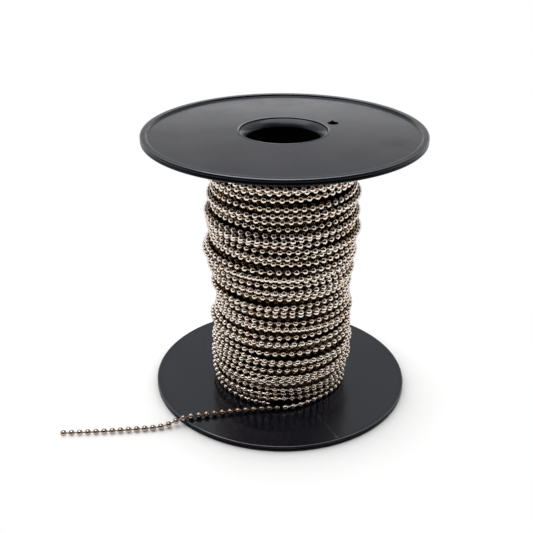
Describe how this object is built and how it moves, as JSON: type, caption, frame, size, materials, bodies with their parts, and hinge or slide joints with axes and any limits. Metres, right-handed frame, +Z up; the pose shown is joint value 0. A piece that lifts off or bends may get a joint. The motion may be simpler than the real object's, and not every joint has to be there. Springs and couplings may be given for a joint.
{
  "type": "roller blind chain spool",
  "caption": "Flanged black plastic spool with a through bore, wound with nickel-plated ball chain for roller blinds, the free end of the chain laid out beside it.",
  "frame": {"origin": "centre of the underside of the bottom rim, on the surface that the spool stands on", "axes": "+Z up along the axis of the spool, -Y towards the viewer of the picture and -X towards the free end of the chain"},
  "size_m": [0.266, 0.2, 0.205],
  "materials": {
    "spool_plastic": "satin black moulded plastic with a fine grain",
    "barrel_plastic": "smooth black plastic",
    "wound_chain": "bright warm nickel plate, dark between the turns",
    "chain_metal": "bright warm nickel plate"
  },
  "bodies": {
    "root": {"flange_top": "spool_plastic", "flange_bottom": "spool_plastic", "barrel": "barrel_plastic", "chain_winding": "wound_chain", "tail_bead_01": "chain_metal", "tail_bead_02": "chain_metal", "tail_bead_03": "chain_metal", "tail_bead_04": "chain_metal", "tail_bead_05": "chain_metal", "tail_bead_06": "chain_metal", "tail_bead_07": "chain_metal", "tail_bead_08": "chain_metal", "tail_bead_09": "chain_metal", "tail_bead_10": "chain_metal", "tail_bead_11": "chain_metal", "tail_bead_12": "chain_metal", "tail_bead_13": "chain_metal", "tail_bead_14": "chain_metal", "tail_bead_15": "chain_metal", "tail_bead_16": "chain_metal", "tail_bead_17": "chain_metal", "tail_bead_18": "chain_metal", "tail_bead_19": "chain_metal", "tail_bead_20": "chain_metal", "tail_bead_21": "chain_metal", "tail_bead_22": "chain_metal", "tail_bead_23": "chain_metal", "tail_bead_24": "chain_metal", "tail_bead_25": "chain_metal", "tail_bead_26": "chain_metal", "tail_bead_27": "chain_metal", "tail_bead_28": "chain_metal", "tail_link_01": "chain_metal", "tail_link_02": "chain_metal", "tail_link_03": "chain_metal", "tail_link_04": "chain_metal", "tail_link_05": "chain_metal", "tail_link_06": "chain_metal", "tail_link_07": "chain_metal", "tail_link_08": "chain_metal", "tail_link_09": "chain_metal", "tail_link_10": "chain_metal", "tail_link_11": "chain_metal", "tail_link_12": "chain_metal", "tail_link_13": "chain_metal", "tail_link_14": "chain_metal", "tail_link_15": "chain_metal", "tail_link_16": "chain_metal", "tail_link_17": "chain_metal", "tail_link_18": "chain_metal", "tail_link_19": "chain_metal", "tail_link_20": "chain_metal", "tail_link_21": "chain_metal", "tail_link_22": "chain_metal", "tail_link_23": "chain_metal", "tail_link_24": "chain_metal", "tail_link_25": "chain_metal", "tail_link_26": "chain_metal", "tail_link_27": "chain_metal"}
  },
  "joints": []
}
